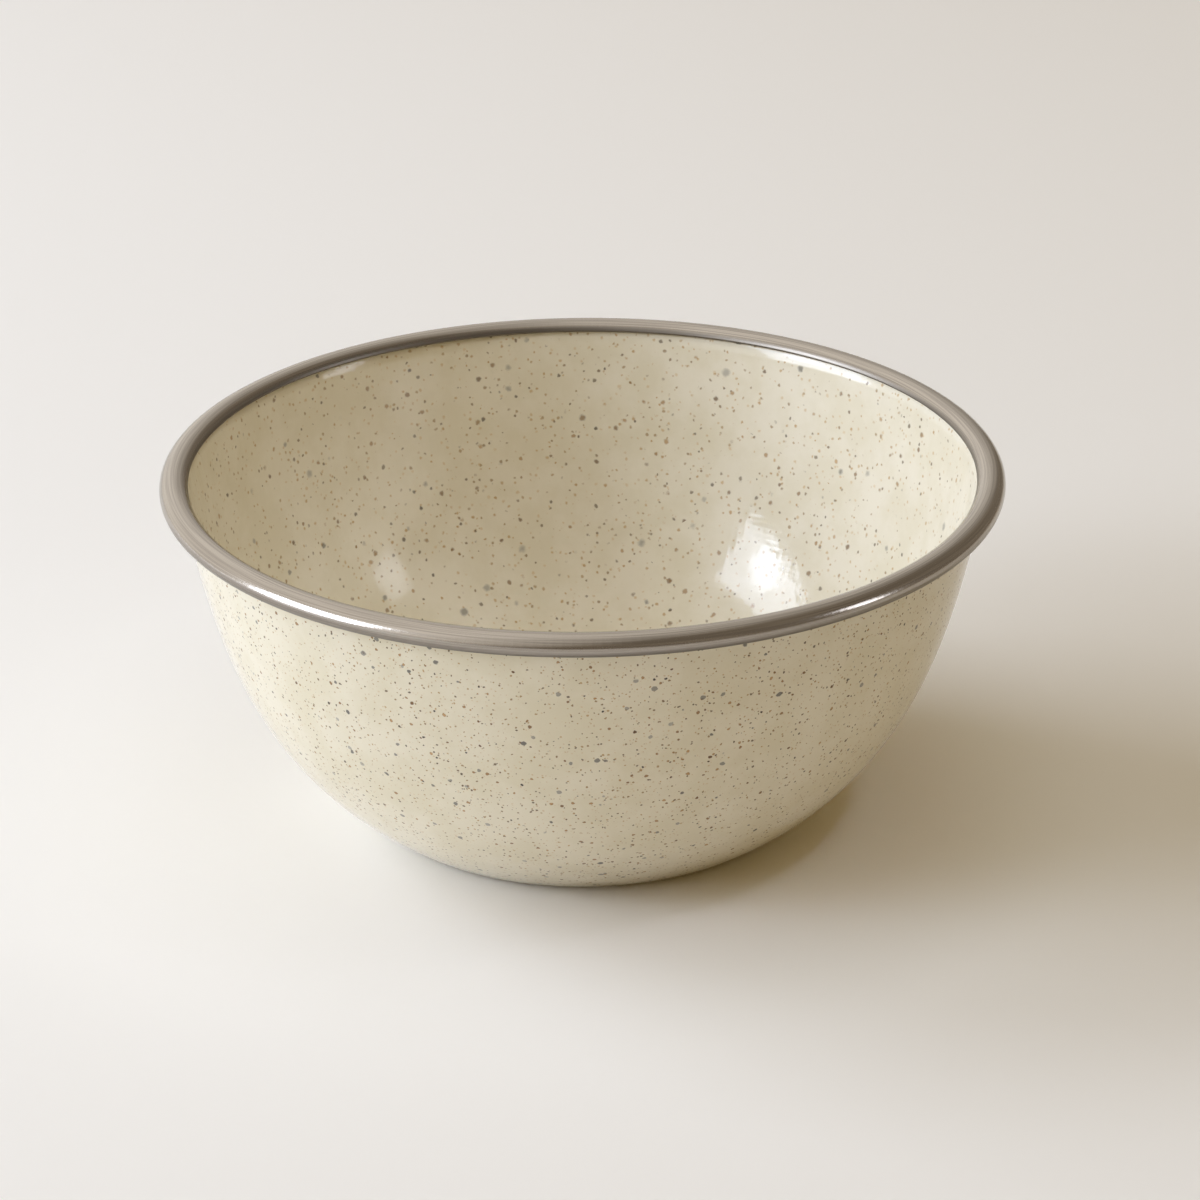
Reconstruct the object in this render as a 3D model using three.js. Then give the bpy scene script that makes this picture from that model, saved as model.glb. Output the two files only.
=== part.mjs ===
// Enamelled soup bowl: a deep-drawn steel bowl with glassy enamel fired on both faces, and a
// stainless ring rolled over its turned-out edge. Millimetres, +Z up, with the origin in the
// middle of the plane that the foot stands on. Every piece is a revolve about the Z axis.
import * as THREE from 'three';

const { degToRad } = THREE.MathUtils;

// Overall sizes
const RIM_DIAMETER = 160;
const BOWL_HEIGHT = 69.5;
const BASE_DIAMETER = 79.6; // where the slope of the wall would cross the standing plane

// Sheet, coats and the bond line between them
const STEEL_GAUGE = 0.7;
const OUTER_COAT = 0.28;
const INNER_COAT = 0.28;
const BOND_GAP = 0.02;

// Stainless ring over the edge
const RING_WIDTH = 5.5;
const RING_HEIGHT = 4.3;
const RING_GAUGE = 0.45;
const RING_TUCK = 1.05; // how far the ring's inner hem reaches back to the enamel
const RING_CLEARANCE = 0.15;
const GRIP_RISE = 0.6; // the flange and the hem lie this far above the ring's mid-height

// Pressed base: a flat foot round a slightly raised middle
const FOOT_WIDTH = 6;
const BASE_RISE = 0.9;
const RISE_RADIUS = 5;
const CORNER_RADIUS = 6;

// Wall: slopes are measured up from the horizontal, fullness is a share of the wall's chord
const WALL_FOOT_SLOPE = degToRad(33.8);
const WALL_RIM_SLOPE = degToRad(78.8);
const WALL_FOOT_FULLNESS = 0.376;
const WALL_RIM_FULLNESS = 0.39;

// Lip: the wall flares out below the ring, then bends flat into the flange that the ring grips
const FLARE_SLOPE = degToRad(55);
const FLARE_RADIUS = 4.9;
const FLANGE_BEND_RADIUS = 1.1;

// Facets round the axis, and steps along each stretch of the section
const SEGMENTS = 48;
const STEPS = { straight: 1, rise: 1, corner: 2, wall: 8, flare: 2, bend: 2, ringOval: 15, hem: 2 };

// Sizes that follow from those above
const QUARTER = Math.PI / 2;
const WALL_THICKNESS = OUTER_COAT + BOND_GAP + STEEL_GAUGE + BOND_GAP + INNER_COAT;
const ring = {
  r: (RIM_DIAMETER - RING_WIDTH) / 2,
  z: BOWL_HEIGHT - RING_HEIGHT / 2,
  width: RING_WIDTH / 2,
  height: RING_HEIGHT / 2,
};
const cavity = { width: ring.width - RING_GAUGE, height: ring.height - RING_GAUGE };

// Half the width of an oval at a height above its middle
function ovalReach({ width, height }, rise) {
  return width * Math.sqrt(1 - (rise / height) ** 2);
}

// The lip's two bends, given by their centres. The flange lies just above the ring's mid-height,
// and the flare is set so that the ring's inner hem just reaches the enamel.
const gripZ = ring.z + GRIP_RISE;
const flangeZ = gripZ - WALL_THICKNESS / 2;
const bendZ = flangeZ - FLANGE_BEND_RADIUS;
const flareZ = bendZ - (FLARE_RADIUS - FLANGE_BEND_RADIUS) * Math.cos(FLARE_SLOPE);
const hemZ = gripZ - RING_GAUGE;
const flareR = ring.r - ring.width + RING_TUCK
  + Math.sqrt((FLARE_RADIUS + WALL_THICKNESS) ** 2 - (hemZ - flareZ) ** 2);
const bendR = flareR - (FLARE_RADIUS - FLANGE_BEND_RADIUS) * Math.sin(FLARE_SLOPE);
const flangeEdgeR = ring.r + ovalReach(cavity, GRIP_RISE + WALL_THICKNESS / 2) - RING_CLEARANCE;

// Radius of the flared lip at a height, on the face that lies depth inside the outer one
function lipRadiusAt(z, depth) {
  return flareR - Math.sqrt((FLARE_RADIUS + depth) ** 2 - (z - flareZ) ** 2);
}

function point(r, z) {
  return new THREE.Vector2(r, z);
}

function arc(r, z, radius, from, to) {
  return new THREE.EllipseCurve(r, z, radius, radius, from, to, to < from);
}

// The outer face of the bowl from the axis to the flange's edge, as smooth stretches end to end
function outerFace() {
  const footOuterR = BASE_DIAMETER / 2 - CORNER_RADIUS * Math.tan(WALL_FOOT_SLOPE / 2);
  const footInnerR = footOuterR - FOOT_WIDTH;
  const riseTurn = Math.acos(1 - BASE_RISE / (2 * RISE_RADIUS));
  const middleR = footInnerR - 2 * RISE_RADIUS * Math.sin(riseTurn);

  const middle = new THREE.LineCurve(point(0, BASE_RISE), point(middleR, BASE_RISE));
  const riseTop = arc(middleR, BASE_RISE - RISE_RADIUS, RISE_RADIUS, QUARTER, QUARTER - riseTurn);
  const riseFoot = arc(footInnerR, RISE_RADIUS, RISE_RADIUS, -QUARTER - riseTurn, -QUARTER);
  const foot = new THREE.LineCurve(point(footInnerR, 0), point(footOuterR, 0));
  const corner = arc(footOuterR, CORNER_RADIUS, CORNER_RADIUS, -QUARTER, WALL_FOOT_SLOPE - QUARTER);
  const flare = arc(flareR, flareZ, FLARE_RADIUS, QUARTER + WALL_RIM_SLOPE, QUARTER + FLARE_SLOPE);
  const bend = arc(bendR, bendZ, FLANGE_BEND_RADIUS, QUARTER + FLARE_SLOPE, QUARTER);
  const flange = new THREE.LineCurve(point(bendR, flangeZ), point(flangeEdgeR, flangeZ));

  const wallFoot = corner.getPoint(1);
  const wallTop = flare.getPoint(0);
  const chord = wallFoot.distanceTo(wallTop);
  const footPull = point(Math.cos(WALL_FOOT_SLOPE), Math.sin(WALL_FOOT_SLOPE));
  const rimPull = point(Math.cos(WALL_RIM_SLOPE), Math.sin(WALL_RIM_SLOPE));
  const wall = new THREE.CubicBezierCurve(
    wallFoot,
    wallFoot.clone().addScaledVector(footPull, WALL_FOOT_FULLNESS * chord),
    wallTop.clone().addScaledVector(rimPull, -WALL_RIM_FULLNESS * chord),
    wallTop,
  );

  return [
    { curve: middle, steps: STEPS.straight },
    { curve: riseTop, steps: STEPS.rise },
    { curve: riseFoot, steps: STEPS.rise },
    { curve: foot, steps: STEPS.straight },
    { curve: corner, steps: STEPS.corner },
    { curve: wall, steps: STEPS.wall },
    { curve: flare, steps: STEPS.flare },
    { curve: bend, steps: STEPS.bend },
    { curve: flange, steps: STEPS.straight },
  ];
}

// Points along the stretches, each with the direction square to the face and into the wall
function stationsAlong(stretches) {
  const stations = [];
  stretches.forEach(({ curve, steps }, index) => {
    for (let step = index === 0 ? 0 : 1; step <= steps; step += 1) {
      const along = curve.getTangent(step / steps);
      stations.push({ at: curve.getPoint(step / steps), inward: point(-along.y, along.x) });
    }
  });
  return stations;
}

// The lathe turns a section about Y, so the result is tipped up to stand on Z
function revolve(section) {
  return new THREE.LatheGeometry(section, SEGMENTS).rotateX(QUARTER);
}

// One even layer of the wall, between two depths below the outer face
function wallLayer(stations, depth, thickness) {
  const faceAt = (d) => stations.map(({ at, inward }) => at.clone().addScaledVector(inward, d));
  return revolve([...faceAt(depth), ...faceAt(depth + thickness).reverse()]);
}

// Points on an oval round the ring's middle, from its bottom by the outside and the top to the
// height of the grip on its inner side
function ovalPoints({ width, height }) {
  const end = 2 * QUARTER - Math.asin(GRIP_RISE / height);
  const oval = new THREE.EllipseCurve(ring.r, ring.z, width, height, -QUARTER, end);
  return oval.getPoints(STEPS.ringOval);
}

// The ring: an open oval tube. Its lower lip is flattened in under the flange, and its inner edge
// is hemmed back to the enamel. Both stop a clearance short of the flared lip.
function ringSection() {
  const bottomZ = ring.z - ring.height;
  const floorZ = bottomZ + RING_GAUGE;
  const hem = new THREE.EllipseCurve(
    ring.r - ovalReach(cavity, GRIP_RISE),
    gripZ,
    ovalReach(ring, GRIP_RISE) - ovalReach(cavity, GRIP_RISE),
    RING_GAUGE,
    2 * QUARTER,
    3 * QUARTER,
  );
  const outside = [
    point(lipRadiusAt(bottomZ, 0) + RING_CLEARANCE, bottomZ),
    ...ovalPoints(ring),
    ...hem.getPoints(STEPS.hem).slice(1),
    point(lipRadiusAt(hemZ, WALL_THICKNESS) - RING_CLEARANCE, hemZ),
  ];
  const inside = [
    point(lipRadiusAt(floorZ, 0) + RING_CLEARANCE, floorZ),
    ...ovalPoints(cavity),
    point(lipRadiusAt(gripZ, WALL_THICKNESS) - RING_CLEARANCE, gripZ),
  ];
  return [...outside, ...inside.reverse(), outside[0]];
}

const enamel = { roughness: 0.12, metalness: 0 };
const outerEnamel = new THREE.MeshStandardMaterial({ color: 0xe9e1cf, ...enamel });
const innerEnamel = new THREE.MeshStandardMaterial({ color: 0xe3dac4, ...enamel });
const drawnSteel = new THREE.MeshStandardMaterial({ color: 0x6d6f72, roughness: 0.5, metalness: 1 });
const polishedStainless = new THREE.MeshStandardMaterial({ color: 0xb4aca3, roughness: 0.2, metalness: 1 });

const bowl = new THREE.Group();

function addPiece(name, geometry, material) {
  const piece = new THREE.Mesh(geometry, material);
  piece.name = name;
  bowl.add(piece);
}

const stations = stationsAlong(outerFace());
const steelDepth = OUTER_COAT + BOND_GAP;
const innerCoatDepth = steelDepth + STEEL_GAUGE + BOND_GAP;

addPiece('outer_enamel', wallLayer(stations, 0, OUTER_COAT), outerEnamel);
addPiece('steel_bowl', wallLayer(stations, steelDepth, STEEL_GAUGE), drawnSteel);
addPiece('inner_enamel', wallLayer(stations, innerCoatDepth, INNER_COAT), innerEnamel);
addPiece('rim_ring', revolve(ringSection()), polishedStainless);

export default bowl;
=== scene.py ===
"""Speckled enamel soup bowl: the coats, the drawn steel between them and the stainless ring over the
edge, all turned about one axis, on a pale studio floor."""
import math
from collections import namedtuple

import bpy
from bpy.props import FloatProperty, FloatVectorProperty, IntProperty, PointerProperty
from mathutils import Matrix, Vector


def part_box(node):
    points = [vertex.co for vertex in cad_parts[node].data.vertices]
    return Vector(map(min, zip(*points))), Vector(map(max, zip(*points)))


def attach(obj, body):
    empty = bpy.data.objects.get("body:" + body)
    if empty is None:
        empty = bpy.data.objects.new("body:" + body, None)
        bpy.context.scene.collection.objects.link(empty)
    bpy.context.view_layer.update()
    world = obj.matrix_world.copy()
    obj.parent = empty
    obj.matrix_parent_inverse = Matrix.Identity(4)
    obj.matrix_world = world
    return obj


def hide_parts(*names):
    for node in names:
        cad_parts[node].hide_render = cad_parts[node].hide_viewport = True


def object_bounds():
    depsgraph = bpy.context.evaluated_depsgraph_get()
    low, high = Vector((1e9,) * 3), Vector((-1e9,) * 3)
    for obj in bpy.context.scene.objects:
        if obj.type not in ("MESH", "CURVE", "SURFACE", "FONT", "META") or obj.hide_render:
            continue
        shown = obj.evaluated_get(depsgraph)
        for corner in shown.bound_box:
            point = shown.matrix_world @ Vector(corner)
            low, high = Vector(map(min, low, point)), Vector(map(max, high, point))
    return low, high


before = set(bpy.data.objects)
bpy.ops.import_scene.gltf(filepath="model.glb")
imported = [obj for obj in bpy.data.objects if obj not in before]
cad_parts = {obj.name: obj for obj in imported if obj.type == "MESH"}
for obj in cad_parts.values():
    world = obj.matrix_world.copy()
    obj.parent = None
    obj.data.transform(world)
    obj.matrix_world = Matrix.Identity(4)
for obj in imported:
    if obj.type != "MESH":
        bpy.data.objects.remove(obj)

bl_info = {
    "name": "Enamel Soup Bowl",
    "version": (1, 0, 0),
    "blender": (4, 5, 0),
    "location": "3D View > Sidebar > Soup Bowl",
    "description": "Builds a speckled enamel soup bowl with a stainless ring on a studio floor",
    "category": "Object",
}

CAD_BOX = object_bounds()
RING_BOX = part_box("rim_ring")

MM = 0.001
QUARTER = math.pi / 2
WELD = 0.002 * MM  # points closer than this become one, along the seam and at the poles

# Steps along each stretch of a section
STEPS = {"flat": 1, "rise": 6, "corner": 10, "wall": 64, "flare": 14, "bend": 8, "oval": 72, "hem": 8}

# A point of the bowl's outer face, with the direction in which the face runs there
Station = namedtuple("Station", "r z heading")

# One kind of fleck. Cell is the width in millimetres of a cell that may hold one, radius that of the
# largest fleck, and spread the part by which the smallest is smaller. Share is the part of the cells that
# hold one, soft the part of its radius over which it fades, opacity the range from the palest fleck to
# the darkest, and rim how far its edge goes to the darker tone.
Fleck = namedtuple("Fleck", "name cell radius spread share soft opacity rim dark pale")
DUST = Fleck("dust", 0.85, 0.29, 0.5, 0.72, 0.70, (0.35, 0.75), 0.0, "#B08438", "#CFAB62")
GRAINS = (
    Fleck("fine", 0.95, 0.28, 0.4, 0.60, 0.25, (0.70, 1.00), 0.0, "#4A3204", "#B08428"),
    Fleck("brown", 2.00, 0.44, 0.4, 0.48, 0.22, (0.80, 1.00), 0.5, "#583604", "#B47E14"),
    Fleck("grey", 3.40, 0.70, 0.45, 0.46, 0.25, (0.60, 0.90), 0.7, "#3E3C38", "#8E8C86"),
    Fleck("black", 2.30, 0.35, 0.4, 0.58, 0.22, (0.85, 1.00), 0.0, "#2C1E06", "#5E4412"),
)
# Pits in the ring's polish are laid on in the same way
PIT = Fleck("pit", 1.40, 0.16, 0.5, 0.50, 0.5, (0.30, 0.70), 0.0, "#6E675E", "#C9C3BA")

# The darker edge of a fleck comes in between these parts of its radius
RIM_BAND = (0.5, 0.9)

# The speckle of one coat: grain and crowding scale the size and number of its flecks, blur and strength
# how soft and how strong its grains are. The thicker coat inside half buries the grains, but not the dust.
Coat = namedtuple("Coat", "name grain crowding blur strength")
OUTSIDE = Coat("speckled_enamel_outside", 0.95, 1.0, 1.0, 1.0)
INSIDE = Coat("speckled_enamel_inside", 1.75, 1.2, 2.6, 0.78)

# Noise in the glaze, which runs from 0 to 1. Waves are to the millimetre, and a range is the stretch of
# the noise that is put to use.
CLOUD_RANGE = (0.35, 0.65)
BEND_WAVES = 1.4
BEND_REACH = 0.5  # millimetres between the furthest shifts of a grain's outline
CROWD_WAVES = 0.07
CROWD_RANGE = (0.3, 0.7)
CROWDING = (0.7, 1.3)  # times the share of the cells that hold a fleck
EDGE_WAVES = 0.3
EDGE_RANGE = (0.3, 0.5)
EDGE_LIFT = 0.1  # millimetres that the glaze goes past its edge where it goes furthest
EDGE_FADE = (-0.1, 0.15)  # millimetres over which it gives way to the ground coat and painted shade

# The stretch of the noise used for the tone of the ring's polishing lines, and the clouds and tooth of
# the plain surfaces in millimetres
LINE_RANGE = (0.4, 0.6)
STEEL_CLOUD_SIZE = 2.5
STEEL_TONES = ("#6A6A6B", "#858585")
BOARD_TOOTH_SIZE = 1.25
BOARD_TOOTH_HEIGHT = 0.02

# One lamp: bearing to the right of the camera's side, rise and spread in degrees, distance and size in
# metres. Its radiance, in watts per square metre and steradian, is that of a whole rectangle of its size
# with no narrowed spread. A fill lights surfaces but isn't mirrored in them, and an accent is mirrored
# alone.
Lamp = namedtuple("Lamp", "name shape bearing rise spread distance size radiance tint lights mirrored")
LAMPS = (
    Lamp("key_softbox", "RECTANGLE", -75.5, 21.0, 180.0, 1.8, (1.13, 1.03), 6.4, "#DFEBFF", True, True),
    Lamp("key_hot_spot", "ELLIPSE", -72.0, 25.0, 180.0, 1.79, (0.40, 0.40), 5.0, "#DFEBFF", True, True),
    Lamp("right_accent", "RECTANGLE", 77.0, 18.0, 180.0, 1.4, (0.26, 0.60), 3.4, "#EEF3FF", False, True),
    Lamp("back_fill", "RECTANGLE", -112.0, 32.0, 180.0, 1.8, (0.90, 0.90), 6.7, "#E4EEFF", True, False),
    Lamp("top_fill", "RECTANGLE", 45.0, 83.0, 180.0, 1.6, (1.30, 1.30), 1.3, "#F1F8FF", True, False),
    Lamp("mouth_fill", "ELLIPSE", 60.0, 55.0, 26.0, 0.35, (0.06, 0.06), 0.62, "#F4F8FF", True, False),
)


def linear(code):
    """An sRGB hex colour as linear red, green, blue and alpha."""
    channels = [int(code[place:place + 2], 16) / 255 for place in (1, 3, 5)]
    return [c / 12.92 if c <= 0.04045 else ((c + 0.055) / 1.055) ** 2.4 for c in channels] + [1.0]


def length(name, description, millimetres):
    """A length to set, given in millimetres."""
    return FloatProperty(name=name, description=description, default=millimetres * MM, min=0.0,
                         precision=5, unit="LENGTH")


def angle(name, description, degrees):
    """An angle to set, given in degrees."""
    return FloatProperty(name=name, description=description, default=math.radians(degrees),
                         subtype="ANGLE", unit="ROTATION")


def share(name, description, default):
    """A part of a whole to set, from 0 to 1."""
    return FloatProperty(name=name, description=description, default=default, min=0.0, max=1.0,
                         subtype="FACTOR")


def colour(name, description, code):
    """A colour to set, given as sRGB hex."""
    return FloatVectorProperty(name=name, description=description, default=linear(code), size=4,
                               min=0.0, max=1.0, subtype="COLOR")


class BowlSizes(bpy.types.PropertyGroup):
    """Sizes of the drawn bowl and its coats"""
    rim_diameter: length("Rim diameter", "Outside of the ring", (CAD_BOX[1].x - CAD_BOX[0].x) / MM)
    height: length("Height", "Standing plane to the top of the ring", CAD_BOX[1].z / MM)
    base_diameter: length("Base diameter", "Where the wall's slope would cross the standing plane", 79.6)
    steel_gauge: length("Steel gauge", "Thickness of the drawn sheet", 0.7)
    coat: length("Coat", "Thickness of the enamel on each face", 0.28)
    bond_gap: length("Bond gap", "Room between a coat and the sheet", 0.02)
    foot_width: length("Foot width", "Flat ring that the bowl stands on", 6.0)
    base_rise: length("Base rise", "How far the middle of the base is pressed up", 0.9)
    rise_radius: length("Rise radius", "Bends between the foot and the raised middle", 5.0)
    corner_radius: length("Corner radius", "Bend from the foot into the wall", 6.0)
    wall_foot_slope: angle("Wall slope at the foot", "Up from the horizontal", 33.8)
    wall_rim_slope: angle("Wall slope at the rim", "Up from the horizontal", 78.8)
    wall_foot_fullness: share("Fullness at the foot", "Pull of the foot slope, of the wall's chord", 0.376)
    wall_rim_fullness: share("Fullness at the rim", "Pull of the rim slope, of the wall's chord", 0.39)
    flare_slope: angle("Flare slope", "Slope where the flared lip bends into the flange", 55.0)
    flare_radius: length("Flare radius", "Outer face of the flared lip", 4.9)
    bend_radius: length("Bend radius", "Outer face of the bend into the flange", 1.1)
    segments: IntProperty(name="Segments", description="Facets round the axis", default=288, min=24)
    sharp_angle: angle("Sharp angle", "Edges that turn more than this stay crisp", 40.0)


class RingSizes(bpy.types.PropertyGroup):
    """Sizes of the stainless ring rolled over the bowl's edge"""
    width: length("Width", "Across the ring's oval", 5.5)
    height: length("Height", "Up the ring's oval", (RING_BOX[1].z - RING_BOX[0].z) / MM)
    gauge: length("Gauge", "Thickness of the strip", 0.45)
    tuck: length("Tuck", "How far the inner hem reaches back to the enamel", 1.05)
    clearance: length("Clearance", "Between the strip's edges and the enamel", 0.15)
    grip_rise: length("Grip rise", "Flange and hem above the ring's mid-height", 0.6)


class EnamelLook(bpy.types.PropertyGroup):
    """Colour and gloss of the fired enamel"""
    # Painted light: the inner and outer creams are one enamel, tinted apart for how the light falls inside
    # and outside the bowl; the inner pair is lighter and cooler
    cream: colour("Cream", "Cover coat where it is even", "#E6DEC7")
    thin: colour("Thin cream", "Cover coat in its faintly thinner clouds", "#DFD6BB")
    inner_cream: colour("Inner cream", "The thicker cover coat inside, where it is even", "#E7E0CE")
    inner_thin: colour("Inner thin cream", "The cover coat inside, in its thinner clouds", "#E0D8C2")
    # Painted shade: the band by the ring is partly the ground coat and partly shade in the crevice under
    # the ring
    ground: colour("Ground coat", "Dark coat that shows where the cover coat ends by the ring", "#4A4238")
    ground_width: length("Ground width", "How far the ground coat shows beyond the ring", 0.35)
    cloud_size: length("Cloud size", "Width of the clouds in the cream", 11.0)
    ripple_size: length("Ripple size", "Width of the waves left by firing", 3.2)
    ripple_height: length("Ripple height", "Height of the waves left by firing", 0.050)
    roughness: share("Roughness", "Roughness of the glassy surface", 0.09)
    haze: share("Haze", "Faint glow round the highlights, from the finest waves", 0.6)
    haze_spread: share("Haze spread", "Roughness that the glow stands for", 0.42)


class RingLook(bpy.types.PropertyGroup):
    """Colour and polish of the stainless ring"""
    steel: colour("Steel", "Colour of the metal", "#BEB6AC")
    # Painted shade: this darker colour goes on the ring's lower lip and inner hem, where shade falls; only
    # the added roughness there is dull metal
    dull: colour("Dull steel", "Metal that the polishing doesn't reach, by the strip's edges", "#4E4841")
    dull_height: length("Dull height", "How far the dull metal goes up from the lower lip", 2.7)
    dull_reach: length("Dull reach", "How far the dull metal goes out from the inner hem", 0.8)
    streak: colour("Streak", "Steel along the deeper polishing lines", "#ABA39A")
    line_width: length("Line width", "Spacing of the polishing lines", 0.3)
    line_depth: length("Line depth", "Depth of the polishing lines", 0.005)
    roughness: share("Roughness", "Roughness between the polishing lines", 0.18)
    lip_dullness: share("Lip dullness", "How dull the metal is at the lower lip", 0.95)
    hem_dullness: share("Hem dullness", "How dull the metal is at the inner hem", 0.8)
    dull_roughness: share("Dull roughness", "Roughness that dull metal has more than polished", 0.35)


class StageLook(bpy.types.PropertyGroup):
    """Floor, light and camera"""
    floor: colour("Floor", "Painted board under the bowl", "#F7F5F2")
    floor_size: length("Floor size", "Side of the square board", 4000.0)
    room: colour("Room", "Dim light from all round", "#8B7545")
    dark_side: colour("Dark side", "Side of the room, mirrored in gloss, away from the window", "#8A8072")
    bright_side: colour("Bright side", "Side of the room, mirrored in gloss, by the window", "#FFFBF4")
    bright_way: FloatVectorProperty(name="Bright way", description="Direction of the bright side",
                                    default=(-0.93, 0.25, 0.30), subtype="DIRECTION")
    bright_fade: FloatVectorProperty(name="Bright fade", size=2, default=(-0.05, 0.55),
                                     description="Where along that way the bright side starts and is full")
    lamp_level: FloatProperty(name="Lamp level", description="Strength of all the lamps", default=1.0,
                              min=0.0)
    lens: FloatProperty(name="Lens", description="Focal length of the camera", default=150.0,
                        unit="CAMERA")
    camera_aim: FloatVectorProperty(name="Camera aim", description="Point in the middle of the picture",
                                    default=(3.167 * MM, 0.0, 41.36 * MM), subtype="TRANSLATION",
                                    unit="LENGTH")
    camera_distance: length("Camera distance", "From the aim to the camera", 958.337)
    camera_rise: angle("Camera rise", "Height of the camera above the horizon", 24.11)
    camera_roll: angle("Camera roll", "Tilt of the picture", -0.358)


def add_node(tree, kind, inputs=None, **settings):
    """Adds a node. Inputs go by identifier: a node or a socket is linked, anything else is set."""
    node = tree.nodes.new(kind)
    for name, value in settings.items():
        setattr(node, name, value)
    ports = {port.identifier: port for port in node.inputs if port.enabled}
    for name, value in (inputs or {}).items():
        if isinstance(value, bpy.types.Node):
            value = next(port for port in value.outputs if port.enabled)
        if isinstance(value, bpy.types.NodeSocket):
            tree.links.new(value, ports[name])
        else:
            ports[name].default_value = value
    return node


# Sections

def straight(start, end, heading):
    """Stations along a line, without its start."""
    first, last = Vector(start), Vector(end)
    steps = STEPS["flat"]
    return [Station(*first.lerp(last, step / steps), heading) for step in range(1, steps + 1)]


def bend(centre, radius, headings, steps):
    """Stations along an arc, without its start. The radius is negative where the face turns right."""
    first, last = headings
    stations = []
    for step in range(1, steps + 1):
        heading = first + (last - first) * step / steps
        r = centre[0] + radius * math.sin(heading)
        z = centre[1] - radius * math.cos(heading)
        stations.append(Station(r, z, heading))
    return stations


def swell(start, end, headings, fullness, steps):
    """Stations along a cubic curve between two slopes, without its start."""
    pulls = [Vector((math.cos(heading), math.sin(heading))) for heading in headings]
    first, last = Vector(start), Vector(end)
    chord = (last - first).length
    near = first + pulls[0] * chord * fullness[0]
    far = last - pulls[1] * chord * fullness[1]
    stations = []
    for step in range(1, steps + 1):
        t = step / steps
        u = 1 - t
        at = first * u ** 3 + near * 3 * u * u * t + far * 3 * u * t * t + last * t ** 3
        along = (near - first) * u * u + (far - near) * 2 * u * t + (last - far) * t * t
        stations.append(Station(at.x, at.y, math.atan2(along.y, along.x)))
    return stations


def oval_reach(width, height, rise):
    """Half the width of an oval at a height above its middle, from its half width and height."""
    return width * math.sqrt(1 - (rise / height) ** 2)


class Lip:
    """Places that the bowl's flared lip and the ring share, in metres."""

    def __init__(self, bowl, ring):
        self.wall = 2 * bowl.coat + 2 * bowl.bond_gap + bowl.steel_gauge
        self.ring_half = (ring.width / 2, ring.height / 2)
        self.cavity_half = (ring.width / 2 - ring.gauge, ring.height / 2 - ring.gauge)
        self.ring_r = (bowl.rim_diameter - ring.width) / 2
        self.ring_z = bowl.height - ring.height / 2
        self.grip_z = self.ring_z + ring.grip_rise
        self.hem_z = self.grip_z - ring.gauge
        self.flange_z = self.grip_z - self.wall / 2
        self.bend_z = self.flange_z - bowl.bend_radius
        step_in = bowl.flare_radius - bowl.bend_radius
        self.flare_radius = bowl.flare_radius
        self.flare_z = self.bend_z - step_in * math.cos(bowl.flare_slope)
        hem_rise = self.hem_z - self.flare_z
        hem_reach = math.sqrt((bowl.flare_radius + self.wall) ** 2 - hem_rise ** 2)
        self.flare_r = self.ring_r - self.ring_half[0] + ring.tuck + hem_reach
        self.bend_r = self.flare_r - step_in * math.sin(bowl.flare_slope)
        edge_rise = ring.grip_rise + self.wall / 2
        self.edge_r = self.ring_r + oval_reach(*self.cavity_half, edge_rise) - ring.clearance

    def radius_at(self, z, depth):
        """Radius of the flare at a height, on the face that lies this deep inside the outer one."""
        return self.flare_r - math.sqrt((self.flare_radius + depth) ** 2 - (z - self.flare_z) ** 2)


def outer_face(bowl, lip):
    """Stations of the bowl's outer face from the axis to the flange's edge."""
    foot_outer = bowl.base_diameter / 2 - bowl.corner_radius * math.tan(bowl.wall_foot_slope / 2)
    foot_inner = foot_outer - bowl.foot_width
    rise_turn = math.acos(1 - bowl.base_rise / (2 * bowl.rise_radius))
    middle = foot_inner - 2 * bowl.rise_radius * math.sin(rise_turn)
    rise_centres = (middle, bowl.base_rise - bowl.rise_radius), (foot_inner, bowl.rise_radius)
    corner_centre = foot_outer, bowl.corner_radius
    wall_slopes = bowl.wall_foot_slope, bowl.wall_rim_slope
    fullness = bowl.wall_foot_fullness, bowl.wall_rim_fullness

    face = [Station(0.0, bowl.base_rise, 0.0)]
    face += straight(face[-1][:2], (middle, bowl.base_rise), 0.0)
    face += bend(rise_centres[0], -bowl.rise_radius, (0.0, -rise_turn), STEPS["rise"])
    face += bend(rise_centres[1], bowl.rise_radius, (-rise_turn, 0.0), STEPS["rise"])
    face += straight(face[-1][:2], (foot_outer, 0.0), 0.0)
    face += bend(corner_centre, bowl.corner_radius, (0.0, wall_slopes[0]), STEPS["corner"])
    flare = bend((lip.flare_r, lip.flare_z), -bowl.flare_radius, (wall_slopes[1], bowl.flare_slope),
                 STEPS["flare"])
    flare_foot = (lip.flare_r - bowl.flare_radius * math.sin(wall_slopes[1]),
                  lip.flare_z + bowl.flare_radius * math.cos(wall_slopes[1]))
    face += swell(face[-1][:2], flare_foot, wall_slopes, fullness, STEPS["wall"])
    face += flare
    face += bend((lip.bend_r, lip.bend_z), -bowl.bend_radius, (bowl.flare_slope, 0.0), STEPS["bend"])
    face += straight(face[-1][:2], (lip.edge_r, lip.flange_z), 0.0)
    return face


def layer_section(face, depth, thickness):
    """Section of one even layer of the wall, out along its outer side and back along its inner side."""
    def side(inset):
        return [(s.r - inset * math.sin(s.heading), s.z + inset * math.cos(s.heading)) for s in face]
    return side(depth) + side(depth + thickness)[::-1]


def oval_points(lip, ring, half):
    """Points of an oval round the ring's middle, from its bottom by the outside and the top to the grip."""
    end = math.pi - math.asin(ring.grip_rise / half[1])
    turns = [-QUARTER + (end + QUARTER) * step / STEPS["oval"] for step in range(STEPS["oval"] + 1)]
    return [(lip.ring_r + half[0] * math.cos(t), lip.ring_z + half[1] * math.sin(t)) for t in turns]


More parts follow.
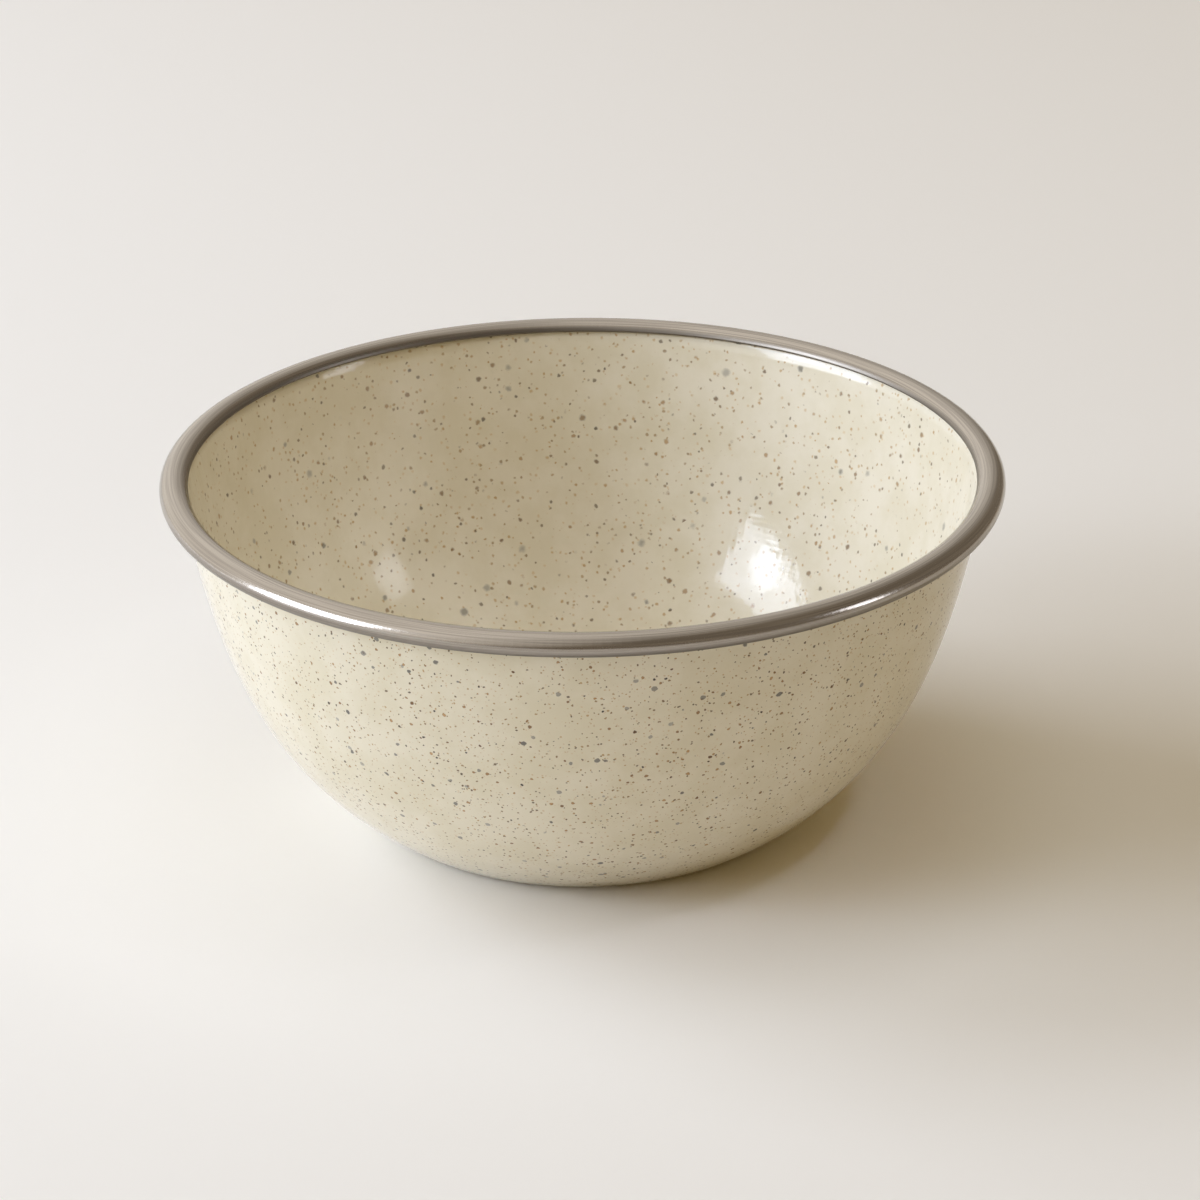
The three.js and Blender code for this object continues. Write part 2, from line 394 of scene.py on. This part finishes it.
def ring_section(lip, ring):
    """Closed section of the ring: an open oval tube, hemmed back to the enamel on its inner side."""
    bottom = lip.ring_z - lip.ring_half[1]
    floor = bottom + ring.gauge
    hem_r = lip.ring_r - oval_reach(*lip.cavity_half, ring.grip_rise)
    hem_width = oval_reach(*lip.ring_half, ring.grip_rise) - oval_reach(*lip.cavity_half, ring.grip_rise)
    hem_turns = [math.pi + QUARTER * step / STEPS["hem"] for step in range(1, STEPS["hem"] + 1)]

    outside = [(lip.radius_at(bottom, 0.0) + ring.clearance, bottom)]
    outside += oval_points(lip, ring, lip.ring_half)
    outside += [(hem_r + hem_width * math.cos(t), lip.grip_z + ring.gauge * math.sin(t)) for t in hem_turns]
    outside.append((lip.radius_at(lip.hem_z, lip.wall) - ring.clearance, lip.hem_z))
    inside = [(lip.radius_at(floor, 0.0) + ring.clearance, floor)]
    inside += oval_points(lip, ring, lip.cavity_half)
    inside.append((lip.radius_at(lip.grip_z, lip.wall) - ring.clearance, lip.grip_z))
    return outside + inside[::-1] + outside[:1]


# Turning a section into a piece

def turned_section_tree():
    """Geometry nodes that turn a section in the XZ plane about Z, close its seam and poles and shade it."""
    tree = bpy.data.node_groups.new("Turned section", "GeometryNodeTree")
    for name, kind in (("Section", "NodeSocketGeometry"), ("Segments", "NodeSocketInt"),
                       ("Weld distance", "NodeSocketFloat"), ("Sharp angle", "NodeSocketFloat"),
                       ("Material", "NodeSocketMaterial")):
        tree.interface.new_socket(name, in_out="INPUT", socket_type=kind)
    tree.interface.new_socket("Piece", in_out="OUTPUT", socket_type="NodeSocketGeometry")
    given = add_node(tree, "NodeGroupInput").outputs

    # A grid with a row for each point of the section and a column for each step of the turn
    points = add_node(tree, "GeometryNodeAttributeDomainSize", {"Geometry": given["Section"]})
    columns = add_node(tree, "FunctionNodeIntegerMath", {"Value": given["Segments"], "Value_001": 1},
                       operation="ADD")
    grid = add_node(tree, "GeometryNodeMeshGrid", {"Vertices X": points.outputs["Point Count"],
                                                   "Vertices Y": columns})
    index = add_node(tree, "GeometryNodeInputIndex")
    row = add_node(tree, "FunctionNodeIntegerMath", {"Value": index, "Value_001": columns},
                   operation="DIVIDE_FLOOR")
    column = add_node(tree, "FunctionNodeIntegerMath", {"Value": index, "Value_001": columns},
                      operation="MODULO")

    # Turning clockwise from above leaves the faces pointing out
    station = add_node(tree, "GeometryNodeSampleIndex",
                       {"Geometry": given["Section"], "Value": add_node(tree, "GeometryNodeInputPosition"),
                        "Index": row}, data_type="FLOAT_VECTOR")
    step = add_node(tree, "ShaderNodeMath", {"Value": -math.tau, "Value_001": given["Segments"]},
                    operation="DIVIDE")
    turn = add_node(tree, "ShaderNodeMath", {"Value": column, "Value_001": step}, operation="MULTIPLY")
    turned = add_node(tree, "ShaderNodeVectorRotate", {"Vector": station, "Angle": turn},
                      rotation_type="Z_AXIS")
    placed = add_node(tree, "GeometryNodeSetPosition", {"Geometry": grid, "Position": turned})
    welded = add_node(tree, "GeometryNodeMergeByDistance", {"Geometry": placed,
                                                           "Distance": given["Weld distance"]})

    edge = add_node(tree, "GeometryNodeInputMeshEdgeAngle")
    smooth = add_node(tree, "FunctionNodeCompare", {"A": edge, "B": given["Sharp angle"]},
                      data_type="FLOAT", operation="LESS_THAN")
    shaded = add_node(tree, "GeometryNodeSetShadeSmooth", {"Geometry": welded, "Shade Smooth": smooth},
                      domain="EDGE")
    real = add_node(tree, "GeometryNodeRealizeInstances", {"Geometry": shaded})
    finished = add_node(tree, "GeometryNodeSetMaterial", {"Geometry": real, "Material": given["Material"]})
    tree.links.new(finished.outputs[0], add_node(tree, "NodeGroupOutput").inputs[0])
    return tree


def turned_piece(name, section, material, node):
    """Turns a section into a plain mesh that stands for one node of the frame."""
    bowl = bpy.context.scene.soup_bowl
    tree = bpy.data.node_groups.get("Turned section") or turned_section_tree()
    line = bpy.data.meshes.new(name + "_section")
    line.from_pydata([(r, 0.0, z) for r, z in section], [(i, i + 1) for i in range(len(section) - 1)], [])
    piece = bpy.data.objects.new(name, line)
    bpy.context.scene.collection.objects.link(piece)

    modifier = piece.modifiers.new("Turned section", "NODES")
    modifier.node_group = tree
    sizes = {"Segments": bowl.segments, "Weld distance": WELD, "Sharp angle": bowl.sharp_angle,
             "Material": material}
    for port in tree.interface.items_tree:
        if port.name in sizes:
            modifier[port.identifier] = sizes[port.name]
    depsgraph = bpy.context.evaluated_depsgraph_get()
    mesh = bpy.data.meshes.new_from_object(piece.evaluated_get(depsgraph), depsgraph=depsgraph)
    if not mesh.polygons:
        raise RuntimeError(f"{name}: the section turned into no faces")
    piece.modifiers.remove(modifier)
    piece.data = mesh
    mesh.name = name
    bpy.data.meshes.remove(line)
    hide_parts(node)
    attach(piece, "root")


# Materials

def new_material(name, values):
    """A material with one principled shader, whose even values are set on its own sockets."""
    material = bpy.data.materials.new(name)
    material.use_nodes = True
    tree = material.node_tree
    tree.nodes.clear()
    shader = add_node(tree, "ShaderNodeBsdfPrincipled", values)
    add_node(tree, "ShaderNodeOutputMaterial", {"Surface": shader})
    return material, tree, shader


def object_millimetres(tree):
    """Places on a piece in millimetres from the origin."""
    place = add_node(tree, "ShaderNodeTexCoord")
    return add_node(tree, "ShaderNodeVectorMath", {"Vector": place.outputs["Object"], "Scale": 1 / MM},
                    operation="SCALE")


def fleck_layer(tree, under, place, crowd, fleck):
    """Lays one kind of fleck over a colour: round grains, each with its own size, tone and strength."""
    cells = add_node(tree, "ShaderNodeTexVoronoi", {"Vector": place, "Scale": 1 / fleck.cell},
                     label=fleck.name)
    distance = cells.outputs["Distance"]

    # The random colour of a cell settles the size of its fleck, whether it has one, and how strong that is
    chance = add_node(tree, "ShaderNodeSeparateColor", {"Color": cells.outputs["Color"]}).outputs
    reach = fleck.radius / fleck.cell
    size = add_node(tree, "ShaderNodeMapRange", {"Value": chance["Red"],
                                                 "To Min": reach * (1 - fleck.spread), "To Max": reach})
    core = add_node(tree, "ShaderNodeMath", {"Value": size, "Value_001": 1 - fleck.soft},
                    operation="MULTIPLY")
    body = add_node(tree, "ShaderNodeMapRange", {"Value": distance, "From Min": size, "From Max": core},
                    interpolation_type="SMOOTHSTEP")
    limit = add_node(tree, "ShaderNodeMath", {"Value": crowd, "Value_001": fleck.share},
                     operation="MULTIPLY")
    present = add_node(tree, "ShaderNodeMath", {"Value": chance["Green"], "Value_001": limit},
                       operation="LESS_THAN")
    strength = add_node(tree, "ShaderNodeMapRange", {"Value": chance["Blue"], "To Min": fleck.opacity[0],
                                                     "To Max": fleck.opacity[1]})
    shown = add_node(tree, "ShaderNodeMath", {"Value": body, "Value_001": present}, operation="MULTIPLY")
    cover = add_node(tree, "ShaderNodeMath", {"Value": shown, "Value_001": strength}, operation="MULTIPLY")
    tone = add_node(tree, "ShaderNodeMix", {"Factor_Float": chance["Blue"], "A_Color": linear(fleck.pale),
                                            "B_Color": linear(fleck.dark)}, data_type="RGBA")
    out = add_node(tree, "ShaderNodeMath", {"Value": distance, "Value_001": size}, operation="DIVIDE")
    edge = add_node(tree, "ShaderNodeMapRange", {"Value": out, "From Min": RIM_BAND[0],
                                                 "From Max": RIM_BAND[1], "To Max": fleck.rim},
                    interpolation_type="SMOOTHSTEP")
    tone = add_node(tree, "ShaderNodeMix", {"Factor_Float": edge, "A_Color": tone,
                                            "B_Color": linear(fleck.dark)}, data_type="RGBA")
    return add_node(tree, "ShaderNodeMix", {"Factor_Float": cover, "A_Color": under, "B_Color": tone},
                    data_type="RGBA")


def speckled_enamel(coat, look, creams, edge):
    """Vitreous enamel, sprayed on with coarse oxide grains and fired. Cream glass with a wet gloss and
    faint clouds and waves, full of soft-edged brown, grey and near-black flecks. A dark broken line along
    the edge, which is a height in metres, is partly the ground coat and partly painted shade under the
    ring."""
    material, tree, shader = new_material(coat.name, {"IOR": 1.52, "Roughness": look.roughness,
                                                      "Coat Weight": look.haze,
                                                      "Coat Roughness": look.haze_spread})
    place = object_millimetres(tree)
    clouds = add_node(tree, "ShaderNodeTexNoise", {"Vector": place, "Scale": MM / look.cloud_size,
                                                   "Detail": 7.0, "Roughness": 0.62})
    cloudy = add_node(tree, "ShaderNodeMapRange", {"Value": clouds, "From Min": CLOUD_RANGE[0],
                                                   "From Max": CLOUD_RANGE[1]},
                      interpolation_type="SMOOTHSTEP")
    glaze = add_node(tree, "ShaderNodeMix", {"Factor_Float": cloudy, "A_Color": creams[0],
                                             "B_Color": creams[1]}, data_type="RGBA")

    # The grains aren't quite round, and they crowd in some places
    wander = add_node(tree, "ShaderNodeTexNoise", {"Vector": place, "Scale": BEND_WAVES, "Detail": 1.0})
    shift = add_node(tree, "ShaderNodeVectorMath", {"Vector": wander.outputs["Color"],
                                                    "Vector_001": [0.5] * 3}, operation="SUBTRACT")
    bent = add_node(tree, "ShaderNodeVectorMath", {"Vector": shift, "Vector_001": [BEND_REACH] * 3,
                                                   "Vector_002": place}, operation="MULTIPLY_ADD")
    sized = add_node(tree, "ShaderNodeVectorMath", {"Vector": bent, "Scale": 1 / coat.grain},
                     operation="SCALE")
    drift = add_node(tree, "ShaderNodeTexNoise", {"Vector": place, "Scale": CROWD_WAVES, "Detail": 2.0})
    crowd = add_node(tree, "ShaderNodeMapRange", {"Value": drift, "From Min": CROWD_RANGE[0],
                                                  "From Max": CROWD_RANGE[1],
                                                  "To Min": CROWDING[0] * coat.crowding,
                                                  "To Max": CROWDING[1] * coat.crowding})
    glaze = fleck_layer(tree, glaze, sized, crowd, DUST)
    for grain in GRAINS:
        buried = grain._replace(soft=min(grain.soft * coat.blur, 1.0),
                                opacity=[coat.strength * amount for amount in grain.opacity])
        glaze = fleck_layer(tree, glaze, sized, crowd, buried)

    # Painted shade: a broken dark band just under the edge, partly the ground coat showing, partly shade in
    # the crevice under the ring
    height = add_node(tree, "ShaderNodeSeparateXYZ", {"Vector": place}).outputs["Z"]
    ragged = add_node(tree, "ShaderNodeTexNoise", {"Vector": place, "Scale": EDGE_WAVES, "Detail": 3.0})
    lift = add_node(tree, "ShaderNodeMapRange", {"Value": ragged, "From Min": EDGE_RANGE[0],
                                                 "From Max": EDGE_RANGE[1],
                                                 "To Min": -look.ground_width / MM, "To Max": EDGE_LIFT})
    level = add_node(tree, "ShaderNodeMath", {"Value": height, "Value_001": lift}, operation="SUBTRACT")
    bare = add_node(tree, "ShaderNodeMapRange", {"Value": level, "From Min": edge / MM + EDGE_FADE[0],
                                                 "From Max": edge / MM + EDGE_FADE[1]},
                    interpolation_type="SMOOTHSTEP")
    glaze = add_node(tree, "ShaderNodeMix", {"Factor_Float": bare, "A_Color": glaze,
                                             "B_Color": look.ground}, data_type="RGBA")

    waves = add_node(tree, "ShaderNodeTexNoise", {"Vector": place, "Scale": MM / look.ripple_size,
                                                  "Detail": 1.0})
    relief = add_node(tree, "ShaderNodeBump", {"Height": waves, "Distance": look.ripple_height})
    tree.links.new(glaze.outputs["Result"], shader.inputs["Base Color"])
    tree.links.new(relief.outputs["Normal"], shader.inputs["Normal"])
    return material


def polished_stainless(look, ring):
    """Stainless strip, rolled and polished along its length: a soft gloss broken by fine lines that run
    round the ring, rougher and darker by the strip's edges, with small pits. The rougher metal is dull
    polish; the darker colour is painted shade under the lower lip and in the tucked hem."""
    material, tree, shader = new_material("polished_stainless", {"Metallic": 1.0})
    place = object_millimetres(tree)
    parts = add_node(tree, "ShaderNodeSeparateXYZ", {"Vector": place}).outputs
    flat = add_node(tree, "ShaderNodeVectorMath", {"Vector": place, "Vector_001": (1.0, 1.0, 0.0)},
                    operation="MULTIPLY")
    radius = add_node(tree, "ShaderNodeVectorMath", {"Vector": flat}, operation="LENGTH")
    heading = add_node(tree, "ShaderNodeVectorMath", {"Vector": flat}, operation="NORMALIZE")
    turn = add_node(tree, "ShaderNodeSeparateXYZ", {"Vector": heading}).outputs

    # Each line keeps its place across the strip and fades slowly along it. Real ones are finer: these are
    # as coarse as they need to be to show.
    along = add_node(tree, "ShaderNodeCombineXYZ", {"X": radius.outputs["Value"], "Y": parts["Z"],
                                                    "Z": turn["X"]})
    lines = add_node(tree, "ShaderNodeTexNoise", {"Vector": along, "W": turn["Y"],
                                                  "Scale": MM / look.line_width, "Detail": 2.0},
                     noise_dimensions="4D")
    relief = add_node(tree, "ShaderNodeBump", {"Height": lines, "Distance": look.line_depth})
    worn = add_node(tree, "ShaderNodeMapRange", {"Value": lines, "From Min": LINE_RANGE[0],
                                                 "From Max": LINE_RANGE[1]})
    tone = add_node(tree, "ShaderNodeMix", {"Factor_Float": worn, "A_Color": look.streak,
                                            "B_Color": look.steel}, data_type="RGBA")
    # Painted shade: the colour darkens up from the lower lip and in from the inner hem, where shade falls
    # under and inside the ring; the roughness rises there too, as dull metal
    lower_lip = RING_BOX[0].z / MM
    low = add_node(tree, "ShaderNodeMapRange", {"Value": parts["Z"], "From Min": lower_lip,
                                                "From Max": lower_lip + look.dull_height / MM,
                                                "To Min": look.lip_dullness, "To Max": 0.0})
    hem = (CAD_BOX[1].x - ring.width) / MM
    tucked = add_node(tree, "ShaderNodeMapRange", {"Value": radius.outputs["Value"], "From Min": hem,
                                                   "From Max": hem + look.dull_reach / MM,
                                                   "To Min": look.hem_dullness, "To Max": 0.0})
    dull = add_node(tree, "ShaderNodeMath", {"Value": low, "Value_001": tucked}, operation="MAXIMUM")
    tone = add_node(tree, "ShaderNodeMix", {"Factor_Float": dull, "A_Color": tone, "B_Color": look.dull},
                    data_type="RGBA")
    rough = add_node(tree, "ShaderNodeMapRange", {"Value": dull, "To Min": look.roughness,
                                                  "To Max": look.roughness + look.dull_roughness})
    tone = fleck_layer(tree, tone, place, 1.0, PIT)
    tree.links.new(tone.outputs["Result"], shader.inputs["Base Color"])
    tree.links.new(rough.outputs["Result"], shader.inputs["Roughness"])
    tree.links.new(relief.outputs["Normal"], shader.inputs["Normal"])
    return material


def drawn_steel():
    """Low-carbon sheet, deep-drawn and pickled: dull grey with a cloudy sheen."""
    material, tree, shader = new_material("drawn_steel", {"Metallic": 1.0})
    clouds = add_node(tree, "ShaderNodeTexNoise", {"Vector": object_millimetres(tree),
                                                   "Scale": 1 / STEEL_CLOUD_SIZE, "Detail": 3.0})
    tone = add_node(tree, "ShaderNodeMix", {"Factor_Float": clouds, "A_Color": linear(STEEL_TONES[0]),
                                            "B_Color": linear(STEEL_TONES[1])}, data_type="RGBA")
    rough = add_node(tree, "ShaderNodeMapRange", {"Value": clouds, "To Min": 0.4, "To Max": 0.6})
    tree.links.new(tone.outputs["Result"], shader.inputs["Base Color"])
    tree.links.new(rough.outputs["Result"], shader.inputs["Roughness"])
    return material


def painted_board(look):
    """Matt paint rolled on a smooth board: pale, with hardly any tooth."""
    material, tree, shader = new_material("painted_board", {"Base Color": look.floor, "Roughness": 0.95,
                                                            "Specular IOR Level": 0.1})
    tooth = add_node(tree, "ShaderNodeTexNoise", {"Vector": object_millimetres(tree),
                                                  "Scale": 1 / BOARD_TOOTH_SIZE, "Detail": 3.0})
    relief = add_node(tree, "ShaderNodeBump", {"Height": tooth, "Distance": BOARD_TOOTH_HEIGHT * MM})
    tree.links.new(relief.outputs["Normal"], shader.inputs["Normal"])
    return material


# Stage

def add_floor(look):
    """A square board in the standing plane."""
    half = look.floor_size / 2
    corners = [(-half, -half, 0.0), (half, -half, 0.0), (half, half, 0.0), (-half, half, 0.0)]
    mesh = bpy.data.meshes.new("floor")
    mesh.from_pydata(corners, [], [(0, 1, 2, 3)])
    mesh.materials.append(painted_board(look))
    floor = bpy.data.objects.new("floor", mesh)
    bpy.context.scene.collection.objects.link(floor)


def add_lamp(lamp, level):
    """A soft box aimed at the middle of the bowl."""
    light = bpy.data.lights.new(lamp.name, "AREA")
    light.shape = lamp.shape
    light.size, light.size_y = lamp.size
    light.energy = level * lamp.radiance * math.pi * light.size * light.size_y
    light.color = linear(lamp.tint)[:3]
    light.spread = math.radians(lamp.spread)
    box = bpy.data.objects.new(lamp.name, light)
    turn, lift = math.radians(lamp.bearing), math.radians(lamp.rise)
    back = Vector((math.sin(turn) * math.cos(lift), -math.cos(turn) * math.cos(lift), math.sin(lift)))
    aim = Vector((0.0, 0.0, CAD_BOX[1].z / 2))
    box.location = aim + back * lamp.distance
    box.rotation_euler = back.to_track_quat("Z", "Y").to_euler()
    box.visible_camera = False
    box.visible_diffuse = lamp.lights
    box.visible_glossy = lamp.mirrored
    bpy.context.scene.collection.objects.link(box)


def add_camera(look):
    """A camera that looks down at the bowl from its front."""
    rise = look.camera_rise
    across = Vector((1.0, 0.0, 0.0))
    up = Vector((0.0, math.sin(rise), math.cos(rise)))
    back = Vector((0.0, -math.cos(rise), math.sin(rise)))
    place = Vector(look.camera_aim) + back * look.camera_distance
    level = Matrix((across, up, back)).transposed().to_4x4()
    roll = Matrix.Rotation(look.camera_roll, 4, "Z")
    lens = bpy.data.cameras.new("camera")
    lens.lens = look.lens
    camera = bpy.data.objects.new("camera", lens)
    camera.matrix_world = Matrix.Translation(place) @ level @ roll
    bpy.context.scene.collection.objects.link(camera)
    bpy.context.scene.camera = camera


def light_room(look):
    """A dim warm room. Gloss mirrors it with one bright side, as if by a window."""
    world = bpy.data.worlds.new("studio")
    world.use_nodes = True
    tree = world.node_tree
    tree.nodes.clear()
    sight = add_node(tree, "ShaderNodeTexCoord").outputs["Generated"]
    facing = add_node(tree, "ShaderNodeVectorMath", {"Vector": sight, "Vector_001": look.bright_way},
                      operation="DOT_PRODUCT")
    near = add_node(tree, "ShaderNodeMapRange", {"Value": facing.outputs["Value"],
                                                 "From Min": look.bright_fade[0],
                                                 "From Max": look.bright_fade[1]})
    mirrored = add_node(tree, "ShaderNodeMix", {"Factor_Float": near, "A_Color": look.dark_side,
                                                "B_Color": look.bright_side}, data_type="RGBA")
    gloss = add_node(tree, "ShaderNodeLightPath").outputs["Is Glossy Ray"]
    whole = add_node(tree, "ShaderNodeMix", {"Factor_Float": gloss, "A_Color": look.room,
                                             "B_Color": mirrored}, data_type="RGBA")
    glow = add_node(tree, "ShaderNodeBackground", {"Color": whole, "Strength": 1.0})
    add_node(tree, "ShaderNodeOutputWorld", {"Surface": glow})
    bpy.context.scene.world = world


# Operators

class SOUPBOWL_OT_enamel_coats(bpy.types.Operator):
    """Turn the outer and inner enamel coats and fire their speckled glaze"""
    bl_idname = "soup_bowl.enamel_coats"
    bl_label = "Enamel Coats"

    def execute(self, context):
        scene = context.scene
        bowl, look = scene.soup_bowl, scene.soup_bowl_enamel
        lip = Lip(bowl, scene.soup_bowl_ring)
        face = outer_face(bowl, lip)
        inner_depth = bowl.coat + 2 * bowl.bond_gap + bowl.steel_gauge
        # The two coats get creams that are tinted apart as painted light
        turned_piece("outer_enamel_coat", layer_section(face, 0.0, bowl.coat),
                     speckled_enamel(OUTSIDE, look, (look.cream, look.thin), RING_BOX[0].z),
                     "outer_enamel")
        turned_piece("inner_enamel_coat", layer_section(face, inner_depth, bowl.coat),
                     speckled_enamel(INSIDE, look, (look.inner_cream, look.inner_thin), lip.hem_z),
                     "inner_enamel")
        return {"FINISHED"}


class SOUPBOWL_OT_steel_bowl(bpy.types.Operator):
    """Turn the drawn steel bowl that lies between the coats"""
    bl_idname = "soup_bowl.steel_bowl"
    bl_label = "Steel Bowl"

    def execute(self, context):
        bowl = context.scene.soup_bowl
        face = outer_face(bowl, Lip(bowl, context.scene.soup_bowl_ring))
        section = layer_section(face, bowl.coat + bowl.bond_gap, bowl.steel_gauge)
        turned_piece("drawn_steel_bowl", section, drawn_steel(), "steel_bowl")
        return {"FINISHED"}


class SOUPBOWL_OT_rim_ring(bpy.types.Operator):
    """Roll the stainless ring over the bowl's edge"""
    bl_idname = "soup_bowl.rim_ring"
    bl_label = "Rim Ring"

    def execute(self, context):
        scene = context.scene
        ring = scene.soup_bowl_ring
        section = ring_section(Lip(scene.soup_bowl, ring), ring)
        metal = polished_stainless(scene.soup_bowl_steel, ring)
        turned_piece("stainless_rim_ring", section, metal, "rim_ring")
        return {"FINISHED"}


class SOUPBOWL_OT_stage(bpy.types.Operator):
    """Lay the floor, set the lights and place the camera"""
    bl_idname = "soup_bowl.stage"
    bl_label = "Stage"

    def execute(self, context):
        look = context.scene.soup_bowl_stage
        add_floor(look)
        light_room(look)
        for lamp in LAMPS:
            add_lamp(lamp, look.lamp_level)
        add_camera(look)
        context.scene.view_settings.view_transform = "Standard"
        return {"FINISHED"}


BUILD_STEPS = (SOUPBOWL_OT_enamel_coats, SOUPBOWL_OT_steel_bowl, SOUPBOWL_OT_rim_ring, SOUPBOWL_OT_stage)


class SOUPBOWL_PT_build(bpy.types.Panel):
    """Sizes, looks and build steps of the soup bowl"""
    bl_label = "Soup Bowl"
    bl_space_type = "VIEW_3D"
    bl_region_type = "UI"
    bl_category = "Soup Bowl"

    def draw(self, context):
        for step in BUILD_STEPS:
            self.layout.operator(step.bl_idname)
        for group, settings in SETTINGS.items():
            box = self.layout.box()
            box.label(text=settings.__doc__)
            for name in settings.__annotations__:
                box.prop(getattr(context.scene, group), name)


SETTINGS = {
    "soup_bowl": BowlSizes,
    "soup_bowl_ring": RingSizes,
    "soup_bowl_enamel": EnamelLook,
    "soup_bowl_steel": RingLook,
    "soup_bowl_stage": StageLook,
}
CLASSES = (*SETTINGS.values(), *BUILD_STEPS, SOUPBOWL_PT_build)


def register():
    for entry in CLASSES:
        bpy.utils.register_class(entry)
    for name, settings in SETTINGS.items():
        setattr(bpy.types.Scene, name, PointerProperty(type=settings))


def unregister():
    for name in SETTINGS:
        delattr(bpy.types.Scene, name)
    for entry in reversed(CLASSES):
        bpy.utils.unregister_class(entry)


def main():
    register()
    bpy.ops.soup_bowl.enamel_coats()
    bpy.ops.soup_bowl.steel_bowl()
    bpy.ops.soup_bowl.rim_ring()
    bpy.ops.soup_bowl.stage()


if __name__ == "__main__":
    main()
